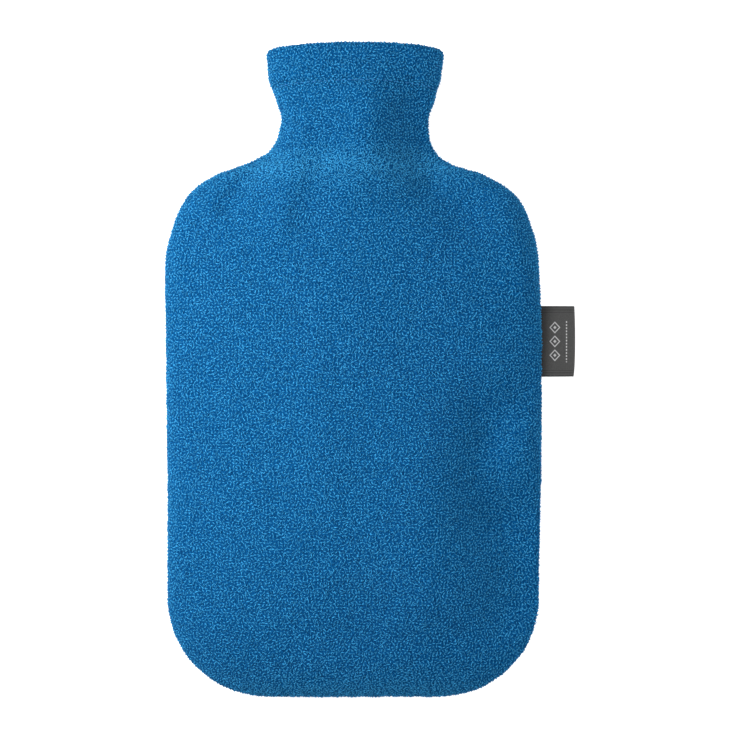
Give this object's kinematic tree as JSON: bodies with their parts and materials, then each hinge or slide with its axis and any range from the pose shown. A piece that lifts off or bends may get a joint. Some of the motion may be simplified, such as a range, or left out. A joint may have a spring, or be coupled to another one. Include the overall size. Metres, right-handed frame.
{
  "type": "hot water bottle cover",
  "caption": "Fleece cover for a hot water bottle, in its filled shape: rounded body, flared open neck with a turned-in hem, and a folded tape label in the side seam.",
  "frame": {"origin": "on the surface that the back lies on, on the cover's centre line and halfway along its length, in the middle of the back's flat area", "axes": "+X across the cover to the side with the label, +Y from the bottom edge towards the neck, +Z from the back to the front"},
  "size_m": [0.2126, 0.3371, 0.0475],
  "materials": {
    "fleece": "napped polyester fleece, matt, with a fine pebbled pile",
    "label_tape": "dark grey satin-woven tape with darker edges"
  },
  "bodies": {
    "root": {"front_panel": "fleece", "back_panel": "fleece", "side_label": "label_tape"}
  },
  "joints": []
}
